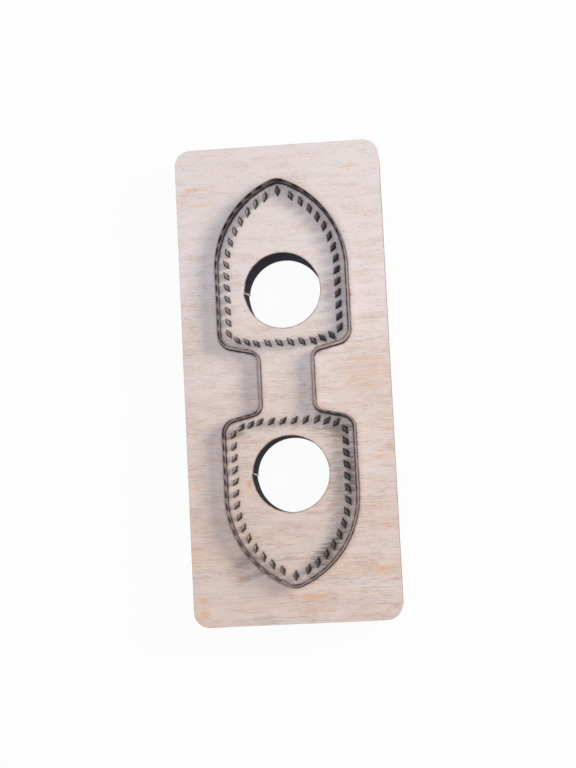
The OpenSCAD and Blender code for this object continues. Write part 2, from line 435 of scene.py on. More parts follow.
@dataclass(frozen=True)
class SawnEdgeFinish:
    """Sawn edge of birch plywood: plies of long and end grain by turns, with dark glue lines between."""

    name: str = "sawn_plywood_edge"
    long_grain: str = "#bfaea2"
    end_grain: str = "#97877c"
    glue: str = "#65544a"
    ply_mm: float = 1.385
    wander: Mottle = Mottle((14.0, 14.0, 14.0), 2.0)
    wander_plies: float = 0.22
    # Fibres are drawn a few times coarser than they are, so that they show
    fibre: Mottle = Mottle((0.5, 0.5, 0.3), 4.0)
    fibre_spread: Ramp = (0.3, 0.7, -0.25, 0.25)
    glue_fade: Ramp = (0.0, 0.1, 0.75, 0.0)
    roughness: float = 0.8
    ior: float = 1.53
    relief: tuple[float, float] = (0.5, 0.12)

    def material(self) -> bpy.types.Material:
        """Builds the plies from the height above the board's underside.

        Returns:
            The material.
        """
        material, tree = new_material(self.name)
        place = add(tree, "ShaderNodeTexCoord").outputs["Object"]
        height = add(tree, "ShaderNodeSeparateXYZ", {0: place}).outputs["Z"]
        plies = add(tree, "ShaderNodeMath", {0: height, 1: 1 / (self.ply_mm * MM)}, operation="MULTIPLY")
        bent = {0: self.wander.on(tree, place), 1: self.wander_plies, 2: plies}
        level = add(tree, "ShaderNodeMath", bent, operation="MULTIPLY_ADD")
        pair = add(tree, "ShaderNodeMath", {0: level, 1: 2.0}, operation="MODULO")
        turn = add(tree, "ShaderNodeMath", {0: pair, 1: 1.0}, operation="GREATER_THAN")
        within = add(tree, "ShaderNodeMath", {0: level}, operation="FRACT")
        fibre = self.fibre.on(tree, place)
        spread = add(tree, "ShaderNodeMapRange", {"Value": fibre, RAMP: self.fibre_spread})
        mixed = add(tree, "ShaderNodeMath", {0: turn, 1: spread}, operation="ADD", use_clamp=True)
        line = add(tree, "ShaderNodeMapRange", {"Value": within, RAMP: self.glue_fade})
        colour: Any = linear(self.long_grain)
        for share, tint in ((mixed, self.end_grain), (line, self.glue)):
            coat = {"Factor": share, "A": colour, "B": linear(tint)}
            colour = add(tree, "ShaderNodeMix", coat, data_type="RGBA")
        shown = {"Base Color": colour, "Roughness": self.roughness, "IOR": self.ior}
        close_surface(tree, fibre, self.relief, shown)
        return material


@dataclass(frozen=True)
class CharredFinish:
    """Laser-cut plywood wall: a thin navy-black char, ribbed upright by the beam, browner at its rims."""

    name: str = "laser_charred_plywood"
    char: str = "#161127"
    soot: str = "#2d263f"
    scorch: str = "#6d4a38"
    # The beam's ribs are about 0.1 mm apart, too fine to show, so they are drawn coarser
    rib: Mottle = Mottle((0.45, 0.45, 9.0), 4.0)
    soot_share: Ramp = (0.42, 0.75, 0.0, 0.9)
    rim_mm: float = 2.4
    rim_blur: float = 0.6
    rim_share: float = 0.85
    roughness: float = 0.85
    ior: float = 1.25
    relief: tuple[float, float] = (0.5, 0.1)

    def material(self) -> bpy.types.Material:
        """Builds the char, with upright ribs and a scorched rim at both faces of the board.

        Returns:
            The material.
        """
        material, tree = new_material(self.name)
        place = add(tree, "ShaderNodeTexCoord").outputs["Object"]
        height = add(tree, "ShaderNodeSeparateXYZ", {0: place}).outputs["Z"]
        ribs = self.rib.on(tree, place)
        sooty = add(tree, "ShaderNodeMapRange", {"Value": ribs, RAMP: self.soot_share})
        half = BOARD_MM / 2
        middle = add(tree, "ShaderNodeMath", {0: height, 1: half * MM}, operation="SUBTRACT")
        away = add(tree, "ShaderNodeMath", {0: middle}, operation="ABSOLUTE")
        uneven = {0: ribs, 1: self.rim_mm * MM, 2: away}
        ragged = add(tree, "ShaderNodeMath", uneven, operation="MULTIPLY_ADD")
        blur = self.rim_blur * self.rim_mm
        limits = from_mm((half - blur, half + blur, 0.0, self.rim_share))
        rim = add(tree, "ShaderNodeMapRange", {"Value": ragged, RAMP: limits})
        colour: Any = linear(self.char)
        for share, tint in ((sooty, self.soot), (rim, self.scorch)):
            coat = {"Factor": share, "A": colour, "B": linear(tint)}
            colour = add(tree, "ShaderNodeMix", coat, data_type="RGBA")
        shown = {"Base Color": colour, "Roughness": self.roughness, "IOR": self.ior}
        close_surface(tree, ribs, self.relief, shown)
        return material


@dataclass(frozen=True)
class RuleSteelFinish:
    """Cold-rolled spring steel, oil-hardened: a mottled violet grey, with mill lines along its length."""

    name: str = "oil_hardened_spring_steel"
    steel: str = "#cfcacf"
    oxide: str = "#a6a0a6"
    ground: str = "#a29da2"
    # Painted shade: a darker steel towards the upper tip, where the rule faces away from the light
    tip_shade: str = "#6b6064"
    # Mill lines are a few hundredths of a millimetre wide, too fine to show, so they are drawn coarser
    line: Mottle = Mottle((9.0, 0.25, 0.25), 4.0)
    blotch: Mottle = Mottle((2.6, 2.6, 2.6), 4.0)
    line_share: float = 0.5
    oxide_share: Ramp = (0.6, 0.95, 0.0, 1.0)
    # Ramps up the rule and up the board, from places in millimetres
    bevel_share: Ramp = (TOOL_MM - BEVEL_MM, TOOL_MM - BEVEL_MM + 0.1, 0.0, 0.55)
    tip_shade_share: Ramp = (38.0, 58.0, 0.0, 0.8)
    roughness: Ramp = (0.5, 1.0, 0.26, 0.36)
    relief: tuple[float, float] = (0.2, 0.02)

    def material(self) -> bpy.types.Material:
        """Builds the steel from the length along the rule and the height up it.

        Returns:
            The material.
        """
        material, tree = new_material(self.name)
        place = add(tree, "ShaderNodeTexCoord").outputs["Object"]
        axes = add(tree, "ShaderNodeSeparateXYZ", {0: place}).outputs
        along = add(tree, "ShaderNodeAttribute", attribute_name=ALONG_ATTRIBUTE).outputs["Fac"]
        lines = self.line.on(tree, add(tree, "ShaderNodeCombineXYZ", {"X": along, "Y": axes["Z"]}))
        uneven = {0: lines, 1: self.line_share, 2: self.blotch.on(tree, place)}
        worn = add(tree, "ShaderNodeMath", uneven, operation="MULTIPLY_ADD")
        colour: Any = linear(self.steel)
        # The bevels have hardened to about the oxide's tone, and the steel round the upper tip is darkened as
        # painted shade
        for value, ramp, tint in (
            (worn, self.oxide_share, self.oxide),
            (axes["Z"], from_mm(self.bevel_share), self.ground),
            (axes["Y"], from_mm(self.tip_shade_share), self.tip_shade),
        ):
            share = add(tree, "ShaderNodeMapRange", {"Value": value, RAMP: ramp})
            coat = {"Factor": share, "A": colour, "B": linear(tint)}
            colour = add(tree, "ShaderNodeMix", coat, data_type="RGBA")
        rough = add(tree, "ShaderNodeMapRange", {"Value": worn, RAMP: self.roughness})
        shown = {"Base Color": colour, "Metallic": 1.0, "Roughness": rough}
        close_surface(tree, lines, self.relief, shown)
        return material


@dataclass(frozen=True)
class PunchSteelFinish:
    """Hardened tool steel: matt black scale from the quench, with a bright ridge along the point that is
    partly worn bare and partly a painted highlight.
    """

    name: str = "quenched_tool_steel"
    scale: str = "#2f2b31"
    ground: str = "#d2cfd1"
    # The scale's grit is below 0.1 mm, too fine to show, so it is drawn coarser
    grit: Mottle = Mottle((0.3, 0.3, 1.6), 3.0)
    grit_share: float = 0.4
    # Brightness by the distance from the ridge, partly worn steel and partly a painted highlight, and up the
    # punch, in millimetres
    ridge_fade: Ramp = (0.24, 0.42, 1.0, 0.0)
    point_rise: Ramp = (TOOL_MM - POINT_MM, TOOL_MM - POINT_MM + 0.4, 0.1, 0.9)
    # Both go by the share of bright steel
    roughness: Ramp = (0.0, 0.6, 0.6, 0.4)
    bareness: Ramp = (0.0, 0.5, 0.0, 1.0)
    relief: tuple[float, float] = (0.25, 0.02)

    def material(self) -> bpy.types.Material:
        """Builds the steel, with a worn ridge on the point that is brightened as a painted highlight, and a
        shade of its own for each punch that holds painted light by its side of the board.

        Returns:
            The material.
        """
        material, tree = new_material(self.name)
        place = add(tree, "ShaderNodeTexCoord").outputs["Object"]
        height = add(tree, "ShaderNodeSeparateXYZ", {0: place}).outputs["Z"]
        grit = self.grit.on(tree, place)
        shade = add(tree, "ShaderNodeAttribute", attribute_name=SHADE_ATTRIBUTE).outputs["Fac"]
        off = add(tree, "ShaderNodeAttribute", attribute_name=RIDGE_ATTRIBUTE).outputs["Fac"]
        tip = add(tree, "ShaderNodeMapRange", {"Value": height, RAMP: from_mm(self.point_rise)})
        ridge = add(tree, "ShaderNodeMapRange", {"Value": off, RAMP: self.ridge_fade})
        # The shade attribute holds painted light, brighter in the left rows and darker in the right rows
        worn = add(tree, "ShaderNodeMath", {0: grit, 1: self.grit_share, 2: shade}, operation="MULTIPLY_ADD")
        share = add(tree, "ShaderNodeMath", {0: worn, 1: tip}, operation="MULTIPLY", use_clamp=True)
        share = add(tree, "ShaderNodeMath", {0: share, 1: ridge}, operation="MULTIPLY")
        coat = {"Factor": share, "A": linear(self.scale), "B": linear(self.ground)}
        colour = add(tree, "ShaderNodeMix", coat, data_type="RGBA")
        rough = add(tree, "ShaderNodeMapRange", {"Value": share, RAMP: self.roughness})
        bare = add(tree, "ShaderNodeMapRange", {"Value": share, RAMP: self.bareness})
        shown = {"Base Color": colour, "Metallic": bare, "Roughness": rough}
        close_surface(tree, grit, self.relief, shown)
        return material


@dataclass(frozen=True)
class FloorFinish:
    """Matt white sweep paper: it shows white to the camera, and keeps a soft shadow."""

    name: str = "matt_white_paper"
    paper: str = "#e9e9ea"
    white: str = "#ffffff"
    white_share: float = 0.94
    roughness: float = 0.9

    def material(self) -> bpy.types.Material:
        """Builds paper that is lifted to white for camera, mirror and clear rays only.

        Returns:
            The material.
        """
        material, tree = new_material(self.name)
        path = add(tree, "ShaderNodeLightPath").outputs
        seen = path["Is Camera Ray"]
        for ray in ("Is Glossy Ray", "Is Transmission Ray"):
            seen = add(tree, "ShaderNodeMath", {0: seen, 1: path[ray]}, operation="MAXIMUM")
        lift = add(tree, "ShaderNodeMath", {0: seen, 1: self.white_share}, operation="MULTIPLY")
        matt = {"Base Color": linear(self.paper), "Roughness": self.roughness}
        paper = add(tree, "ShaderNodeBsdfPrincipled", matt)
        white = add(tree, "ShaderNodeEmission", {"Color": linear(self.white), "Strength": 1.0})
        shown = add(tree, "ShaderNodeMixShader", {0: lift, 1: paper, 2: white})
        add(tree, "ShaderNodeOutputMaterial", {"Surface": shown})
        return material


@dataclass(frozen=True)
class CutLine:
    """The blank's outline on the rule's centre line, in millimetres and degrees."""

    length: float = 142.0
    width: float = 45.8
    flank_r: float = 33.6
    tip_r: float = 6.0
    corner_r: float = 5.0
    shoulder_angle: float = 13.0
    neck_w: float = 18.9
    neck_l: float = 20.8
    neck_r: float = 3.5
    bridge_l: float = 5.0
    bridge_y: float = 25.0
    bridge_angle: float = 36.0
    sag: float = 0.004

    def bend(
        self, centre: tuple[float, float], radius: float, start: float, stop: float, hand: int
    ) -> np.ndarray:
        """Points round a bend.

        Args:
            centre: Middle of the bend.
            radius: Its radius.
            start: Angle of its first point, in degrees.
            stop: Angle of its last point, in degrees.
            hand: 1 where the rule turns left and -1 where it turns right.

        Returns:
            Rows of x, y and heading in radians.
        """
        step = 2 * math.acos(1 - self.sag / radius)
        count = math.ceil(math.radians(abs(stop - start)) / step)
        turn = np.radians(np.linspace(start, stop, count + 1))
        x, y = centre[0] + radius * np.cos(turn), centre[1] + radius * np.sin(turn)
        return np.column_stack((x, y, turn + hand * math.pi / 2))

    def flank_centre(self) -> tuple[float, float]:
        """Middle of the right flank's arc in the upper panel."""
        x = self.width / 2 - self.flank_r
        return x, self.length / 2 - self.tip_r - math.sqrt((self.flank_r - self.tip_r) ** 2 - x**2)

    def lap(self) -> np.ndarray:
        """Goes once round from the middle of the neck's right side.

        Returns:
            Rows of x, y and heading in radians.
        """
        side, neck = self.width / 2, self.neck_w / 2
        turn = 90 - self.shoulder_angle
        reach = math.tan(math.radians(turn / 2))
        rise = (side - neck) * math.tan(math.radians(self.shoulder_angle))
        corner_y = self.neck_l / 2 + rise + self.corner_r * reach
        neck_y = self.neck_l / 2 - self.neck_r * reach
        centre = self.flank_centre()
        tip_y = self.length / 2 - self.tip_r
        tip_angle = math.degrees(math.atan2(tip_y - centre[1], -centre[0]))
        right = np.vstack(
            (
                self.bend((neck + self.neck_r, neck_y), self.neck_r, 180, 180 - turn, -1),
                self.bend((side - self.corner_r, corner_y), self.corner_r, -turn, 0, 1),
                self.bend(centre, self.flank_r, 0, tip_angle, 1),
                self.bend((0.0, tip_y), self.tip_r, tip_angle, 90, 1)[1:],
            )
        )
        left = right[-2::-1] * (-1, 1, -1)
        upper = np.vstack((right, left))
        lower = upper * (-1, -1, 1) + (0, 0, math.pi)
        start = np.array([[neck, 0.0, math.pi / 2]])
        lap = np.vstack((start, upper, lower, start))
        lap[:, 2] = np.unwrap(lap[:, 2])
        return lap

    def bridges(self) -> np.ndarray:
        """Finds the middles of the uncut bridges across the kerf.

        Returns:
            Rows of x and y.
        """
        x, y = self.flank_centre()
        angle = math.radians(self.bridge_angle)
        places = [
            (self.width / 2, self.bridge_y),
            (x + self.flank_r * math.cos(angle), y + self.flank_r * math.sin(angle)),
        ]
        return np.array(
            [(side * px, panel.value * py) for px, py in places for side in (1, -1) for panel in Panel]
        )


class CutPath:
    """The outline by its length, so that kerfs, notches and marks can start anywhere on it."""

    def __init__(self, line: CutLine) -> None:
        """Measures the outline.

        Args:
            line: The outline's sizes.
        """
        self.line = line
        self.lap = line.lap()
        steps = np.hypot(*np.diff(self.lap[:, :2], axis=0).T)
        self.run = np.concatenate(([0.0], np.cumsum(steps)))
        self.length = float(self.run[-1])
        fine = np.linspace(0, self.length, PATH_TRIES)
        at = self.places(fine)[:, :2]
        self.bridge_runs = sorted(
            float(fine[np.argmin(np.hypot(*(at - middle).T))]) for middle in line.bridges()
        )

    def places(self, runs: np.ndarray) -> np.ndarray:
        """Finds places by their length from the butt joint, also past a whole lap.

        Args:
            runs: The lengths.

        Returns:
            Rows of x, y and heading in radians.
        """
        laps, part = np.divmod(np.asarray(runs, float), self.length)
        columns = [np.interp(part, self.run, column) for column in self.lap.T]
        columns[2] = columns[2] + laps * 2 * math.pi
        return np.column_stack(columns)

    def stretch(self, start: float, stop: float) -> np.ndarray:
        """Goes from one length to another, through the outline's own points between them.

        Args:
            start: The first length.
            stop: The last length.

        Returns:
            Rows of x, y and heading in radians.
        """
        # Points nearer to an end than this are left out
        nearest = 0.02
        both = np.concatenate((self.run[:-1], self.run[:-1] + self.length))
        inner = both[(both > start + nearest) & (both < stop - nearest)]
        return self.places(np.concatenate(([start], inner, [stop])))

    def side_bridges(self) -> list[float]:
        """Finds the bridges on the panels' straight sides, which the smoke and the painted shade below the
        kerf leave clean.

        Returns:
            Lengths to their middles.
        """
        across = np.abs(self.places(np.array(self.bridge_runs))[:, 0])
        limit = self.line.width / 2 - self.line.bridge_l / 2
        return [run for run, x in zip(self.bridge_runs, across) if x > limit]

    def kerfs(self, half: float, bridges: list[float]) -> list[np.ndarray]:
        """Closed outlines of the slots between bridges.

        Args:
            half: Half of the kerf's width.
            bridges: Lengths to the bridges.

        Returns:
            One array of points for each slot.
        """
        ends = [run + self.line.bridge_l / 2 for run in bridges]
        starts = [run - self.line.bridge_l / 2 for run in bridges[1:]]
        starts.append(bridges[0] - self.line.bridge_l / 2 + self.length)
        slots = []
        for start, stop in zip(ends, starts):
            rows = self.stretch(start, stop)
            slots.append(np.vstack((beside(rows, half), beside(rows, -half)[::-1])))
        return slots


def beside(rows: np.ndarray, offset: float) -> np.ndarray:
    """Points at a distance beside rows of x, y and heading, outwards if positive."""
    x, y, heading = rows.T
    return np.column_stack((x + offset * np.sin(heading), y - offset * np.cos(heading)))


def as_piece(name: str, mesh: bpy.types.Mesh, slot: str, *nodes: str) -> bpy.types.Object:
    """Puts a finished mesh in the scene as a piece of the object.

    Args:
        name: The piece's name.
        mesh: Its mesh, with its place in it.
        slot: Not used.
        nodes: The CAD nodes that it stands for.

    Returns:
        The piece.
    """
    piece = bpy.data.objects.new(name, mesh)
    bpy.context.scene.collection.objects.link(piece)
    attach(piece, BODY)
    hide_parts(*nodes)
    mesh.calc_loop_triangles()
    LOG.info("%s: %d triangles, stands for %d nodes", name, len(mesh.loop_triangles), len(nodes))
    return piece


def shade_by_angle(mesh: bpy.types.Mesh, degrees: float) -> None:
    """Smooths bends and keeps edges sharper than an angle."""
    mesh.polygons.foreach_set("use_smooth", np.ones(len(mesh.polygons), bool))
    mesh.set_sharp_from_angle(angle=math.radians(degrees))


def outward(mesh: bpy.types.Mesh) -> None:
    """Merges doubles and points the faces of closed shells outwards.

    Args:
        mesh: The mesh that is mended.
    """
    work = bmesh.new()
    work.from_mesh(mesh)
    bmesh.ops.remove_doubles(work, verts=work.verts, dist=MERGE_MM / 2 * MM)
    bmesh.ops.recalc_face_normals(work, faces=work.faces)
    work.to_mesh(mesh)
    work.free()


def grown(tree_owner: bpy.types.Object, tree: bpy.types.NodeTree, inputs: dict[str, Any]) -> bpy.types.Mesh:
    """Runs a Geometry Nodes tree on an object and keeps the plain mesh.

    Args:
        tree_owner: The object that holds the points or the path. It is removed.
        tree: The tree.
        inputs: Values by the name of the tree's input.

    Returns:
        The mesh that the tree made.
    """
    modifier = tree_owner.modifiers.new(tree.name, "NODES")
    modifier.node_group = tree
    for item in tree.interface.items_tree:
        if item.in_out == "INPUT" and item.name in inputs:
            modifier[item.identifier] = inputs[item.name]
    bpy.context.scene.collection.objects.link(tree_owner)
    depsgraph = bpy.context.evaluated_depsgraph_get()
    mesh = bpy.data.meshes.new_from_object(
        tree_owner.evaluated_get(depsgraph), preserve_all_data_layers=True, depsgraph=depsgraph
    )
    bpy.data.objects.remove(tree_owner)
    outward(mesh)
    return mesh


def new_tree(name: str, inputs: dict[str, str]) -> tuple[bpy.types.NodeTree, bpy.types.Node]:
    """Starts a Geometry Nodes tree with named inputs.

    Args:
        name: The tree's name.
        inputs: Socket types by input name, after the geometry.

    Returns:
        The tree and its input node.
    """
    tree = bpy.data.node_groups.new(name, "GeometryNodeTree")
    tree.interface.new_socket("Geometry", in_out="INPUT", socket_type="NodeSocketGeometry")
    for label, kind in inputs.items():
        tree.interface.new_socket(label, in_out="INPUT", socket_type=kind)
    tree.interface.new_socket("Geometry", in_out="OUTPUT", socket_type="NodeSocketGeometry")
    return tree, add(tree, "NodeGroupInput")


@dataclass
class CuttingRule:
    """The bent strip of rule, with its bevelled edge and the notches over the bridges."""

    path: CutPath
    finish: RuleSteelFinish = field(default_factory=RuleSteelFinish)
    height: float = TOOL_MM
    thickness: float = 0.71
    bevel_h: float = BEVEL_MM
    joint_gap: float = 0.1
    notch_top: float = 18.3
    notch_clearance: float = 0.3
    notch_end: float = 0.01
    sharp_deg: float = 24.0

    def outline(self) -> bpy.types.Object:
        """Draws the rule's centre line from joint to joint, with the height of its foot at each point.

        Returns:
            An object with the line as edges.
        """
        half = self.path.line.bridge_l / 2 + self.notch_clearance
        runs = {self.joint_gap / 2: 0.0, self.path.length - self.joint_gap / 2: 0.0}
        runs.update({float(run): 0.0 for run in self.path.run[1:-1]})
        notches = [(run - half, run + half) for run in self.path.bridge_runs]
        for start, stop in notches:
            runs = {run: self.notch_top if start < run < stop else foot for run, foot in runs.items()}
        step = self.notch_end / 2
        for start, stop in notches:
            runs.update({start - step: 0.0, start + step: self.notch_top})
            runs.update({stop - step: self.notch_top, stop + step: 0.0})
        order = sorted(runs)
        rows = self.path.places(np.array(order))
        points = [(x * MM, y * MM, 0.0) for x, y, _ in rows]
        mesh = bpy.data.meshes.new("rule_path")
        mesh.from_pydata(points, [(i, i + 1) for i in range(len(points) - 1)], [])
        feet = mesh.attributes.new(FOOT_ATTRIBUTE, "FLOAT", "POINT")
        feet.data.foreach_set("value", [runs[run] * MM for run in order])
        return bpy.data.objects.new("rule_path", mesh)

    def tree(self) -> bpy.types.NodeTree:
        """Carries the rule's section along its path and lifts the foot over the bridges.

        Returns:
            The Geometry Nodes tree.
        """
        sizes = {name: "NodeSocketFloat" for name in ("Thickness", "Height", "Bevel height")}
        tree, given = new_tree("bent_rule", {**sizes, "Material": "NodeSocketMaterial"})
        take = given.outputs
        half = add(tree, "ShaderNodeMath", {0: take["Thickness"], 1: 0.5}, operation="MULTIPLY")
        other = add(tree, "ShaderNodeMath", {0: half, 1: -1.0}, operation="MULTIPLY")
        # A section is drawn with its second axis down, so heights are negative in it
        edge = add(tree, "ShaderNodeMath", {0: take["Height"], 1: -1.0}, operation="MULTIPLY")
        shoulder = add(tree, "ShaderNodeMath", {0: edge, 1: take["Bevel height"]}, operation="ADD")
        corners = [
            add(tree, "ShaderNodeCombineXYZ", {"X": x, "Y": y})
            for x, y in ((other, 0.0), (half, 0.0), (half, shoulder), (0.0, edge), (other, shoulder))
        ]
        choose = add(tree, "GeometryNodeIndexSwitch", data_type="VECTOR")
        while len(choose.index_switch_items) < len(corners):
            choose.index_switch_items.new()
        tree.links.new(add(tree, "GeometryNodeInputIndex").outputs[0], choose.inputs["Index"])
        for number, corner in enumerate(corners):
            tree.links.new(corner.outputs[0], choose.inputs[1 + number])
        dots = add(tree, "GeometryNodeMeshLine", {"Count": len(corners)})
        placed = add(tree, "GeometryNodeSetPosition", {"Geometry": dots, "Position": choose})
        section = add(tree, "GeometryNodeMeshToCurve", {"Mesh": placed})
        section = add(tree, "GeometryNodeSetSplineCyclic", {0: section, "Cyclic": True})
        path = add(tree, "GeometryNodeMeshToCurve", {"Mesh": take["Geometry"]})
        path = add(tree, "GeometryNodeSetCurveNormal", {"Curve": path}, mode="Z_UP")
        along = add(tree, "GeometryNodeSplineParameter").outputs["Length"]
        marked = {"Geometry": path, "Name": ALONG_ATTRIBUTE, "Value": along}
        path = add(tree, "GeometryNodeStoreNamedAttribute", marked, data_type="FLOAT")
        swept = {"Curve": path, "Profile Curve": section, "Fill Caps": True}
        strip = add(tree, "GeometryNodeCurveToMesh", swept)
        axes = add(tree, "ShaderNodeSeparateXYZ", {0: add(tree, "GeometryNodeInputPosition")}).outputs
        foot = add(tree, "GeometryNodeInputNamedAttribute", {"Name": FOOT_ATTRIBUTE}, data_type="FLOAT")
        raised = add(tree, "ShaderNodeMath", {0: axes["Z"], 1: foot}, operation="MAXIMUM")
        spot = add(tree, "ShaderNodeCombineXYZ", {"X": axes["X"], "Y": axes["Y"], "Z": raised})
        strip = add(tree, "GeometryNodeSetPosition", {"Geometry": strip, "Position": spot})
        strip = add(tree, "GeometryNodeRealizeInstances", {"Geometry": strip})
        strip = add(tree, "GeometryNodeSetMaterial", {"Geometry": strip, "Material": take["Material"]})
        add(tree, "NodeGroupOutput", {0: strip})
        return tree

    def build(self) -> bpy.types.Object:
        """Builds and dresses the rule.

        Returns:
            The piece.
        """
        sizes = {"Thickness": self.thickness, "Height": self.height, "Bevel height": self.bevel_h}
        inputs: dict[str, Any] = {name: size * MM for name, size in sizes.items()}
        inputs["Material"] = self.finish.material()
        mesh = grown(self.outline(), self.tree(), inputs)
        shade_by_angle(mesh, self.sharp_deg)
        return as_piece("cutting_rule_strip", mesh, "rule_steel", "cutting_rule")


@dataclass(frozen=True)
class PunchPlace:
    """Where a punch stands: its middle in millimetres and the angle of its long diagonal."""

    x: float
    y: float
    angle: float


@dataclass
class StitchPunches:
    """All the diamond punches, each standing where its CAD solid stands."""

    finish: PunchSteelFinish = field(default_factory=PunchSteelFinish)
    long_mm: float = 3.2
    short_mm: float = 1.3
    height: float = TOOL_MM
    point_h: float = POINT_MM
    tip_share: float = 0.05
    foot_mm: float = 0.5
    shade_reach: float = 0.2
    # Painted light: the rows at the left are drawn brighter than those at the right, which stand in the
    # rule's shadow; the ramp goes over places in millimetres
    painted_light_by_side: Ramp = (-23.0, 23.0, 0.85, 0.05)
    seed: int = 11

    def nodes(self) -> list[str]:
        """Names of the CAD nodes that hold punches."""
        return sorted(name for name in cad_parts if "punch" in name)

    def places(self) -> list[PunchPlace]:
        """Reads each punch's place from the four corners of its foot.

        Returns:
            One place for each punch.
        """
        places = []
        for name in self.nodes():
            work = bmesh.new()
            work.from_mesh(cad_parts[name].data)
            bmesh.ops.remove_doubles(work, verts=work.verts, dist=MERGE_MM * MM)
            # A dict keeps its order, so every run meets the punches in the same one
            waiting = dict.fromkeys(work.verts)
            while waiting:
                shell, front = [], [waiting.popitem()[0]]
                while front:
                    vert = front.pop()
                    shell.append(vert)
                    for edge in vert.link_edges:
                        near = edge.other_vert(vert)
                        if near in waiting:
                            del waiting[near]
                            front.append(near)
                foot = [vert.co.xy / MM for vert in shell if vert.co.z < self.foot_mm * MM]
                middle = sum(foot, Vector((0.0, 0.0))) / len(foot)
                arm = max((corner - middle for corner in foot), key=lambda reach: reach.length)
                places.append(PunchPlace(middle.x, middle.y, math.atan2(arm.y, arm.x)))
            work.free()
        return places

    def tree(self) -> bpy.types.NodeTree:
        """Makes one punch and stands it at every point, turned to the point's angle.

        Returns:
            The Geometry Nodes tree.
        """
        names = ("Long diagonal", "Short diagonal", "Shank", "Point", "Worn tip")
        sizes = {name: "NodeSocketFloat" for name in names}
        others = {"Seed": "NodeSocketInt", "Material": "NodeSocketMaterial"}
        tree, given = new_tree("stitch_punch_rows", {**sizes, **others})
        take = given.outputs
        half = add(tree, "ShaderNodeMath", {0: take["Long diagonal"], 1: 0.5}, operation="MULTIPLY")
        kite = {"Width": take["Short diagonal"], "Bottom Height": half, "Top Height": half}
        diamond = add(tree, "GeometryNodeCurvePrimitiveQuadrilateral", kite, mode="KITE")
        base = add(tree, "GeometryNodeFillCurve", {"Curve": diamond}, mode="NGONS")
        up = {"Offset": (0.0, 0.0, 1.0), "Individual": False}
        upright = {"Mesh": base, **up, "Offset Scale": take["Shank"]}
        shank = add(tree, "GeometryNodeExtrudeMesh", upright).outputs
        tapered = {"Mesh": shank["Mesh"], "Selection": shank["Top"], **up, "Offset Scale": take["Point"]}
        point = add(tree, "GeometryNodeExtrudeMesh", tapered).outputs
        narrowed = {"Geometry": point["Mesh"], "Selection": point["Top"], "Scale": take["Worn tip"]}
        worn = add(tree, "GeometryNodeScaleElements", narrowed)
        foot = add(tree, "GeometryNodeFlipFaces", {"Mesh": base})
        joined = add(tree, "GeometryNodeJoinGeometry")
        for part in (foot, worn):
            tree.links.new(part.outputs[0], joined.inputs[0])
        punch = add(tree, "GeometryNodeMergeByDistance", {"Geometry": joined, "Distance": MERGE_MM * MM})
        side = add(tree, "ShaderNodeSeparateXYZ", {0: add(tree, "GeometryNodeInputPosition")}).outputs["X"]
        off = add(tree, "ShaderNodeMath", {0: side}, operation="ABSOLUTE")
        off = add(tree, "ShaderNodeMath", {0: off, 1: 1 / MM}, operation="MULTIPLY")
        marked = {"Geometry": punch, "Name": RIDGE_ATTRIBUTE, "Value": off}
        punch = add(tree, "GeometryNodeStoreNamedAttribute", marked, data_type="FLOAT")
        turn = add(tree, "GeometryNodeInputNamedAttribute", {"Name": TURN_ATTRIBUTE}, data_type="FLOAT")
        rotation = add(tree, "ShaderNodeCombineXYZ", {"Z": turn})
        rows = {"Points": take["Geometry"], "Instance": punch, "Rotation": rotation}
        stood = add(tree, "GeometryNodeInstanceOnPoints", rows)
        limits = {"Min": -self.shade_reach, "Max": self.shade_reach, "Seed": take["Seed"]}
        random_and_painted_light = add(tree, "FunctionNodeRandomValue", limits, data_type="FLOAT")
        # Painted light: each punch's shade rises towards the left rows and falls in the right rows, in the
        # rule's shadow
        painted_light_by_side = add(tree, "ShaderNodeMapRange", {"Value": side, RAMP: from_mm(self.painted_light_by_side)})
        random_and_painted_light = add(tree, "ShaderNodeMath", {0: random_and_painted_light, 1: painted_light_by_side}, operation="ADD")
        marked = {"Geometry": stood, "Name": SHADE_ATTRIBUTE, "Value": random_and_painted_light}
        shaded = add(tree, "GeometryNodeStoreNamedAttribute", marked, data_type="FLOAT", domain="INSTANCE")
        real = add(tree, "GeometryNodeRealizeInstances", {"Geometry": shaded})
        dressed = add(tree, "GeometryNodeSetMaterial", {"Geometry": real, "Material": take["Material"]})
        add(tree, "NodeGroupOutput", {0: dressed})
        return tree

    def build(self) -> bpy.types.Object:
        """Builds and dresses the punches.

        Returns:
            The piece.
        """
        places = self.places()
        LOG.info("punches found in the frame: %d", len(places))
        mesh = bpy.data.meshes.new("punch_places")
        mesh.from_pydata([(place.x * MM, place.y * MM, 0.0) for place in places], [], [])
        # The kite's long diagonal lies along Y
        turns = [place.angle - math.pi / 2 for place in places]
        mesh.attributes.new(TURN_ATTRIBUTE, "FLOAT", "POINT").data.foreach_set("value", turns)
        owner = bpy.data.objects.new("punch_places", mesh)
        inputs: dict[str, Any] = {
            "Long diagonal": self.long_mm * MM,
            "Short diagonal": self.short_mm * MM,
            "Shank": (self.height - self.point_h) * MM,
            "Point": self.point_h * MM,
            "Worn tip": self.tip_share,
            "Seed": self.seed,
            "Material": self.finish.material(),
        }
        made = grown(owner, self.tree(), inputs)
        made.polygons.foreach_set("use_smooth", np.zeros(len(made.polygons), bool))
        return as_piece("stitch_punch_set", made, "punch_steel", *self.nodes())


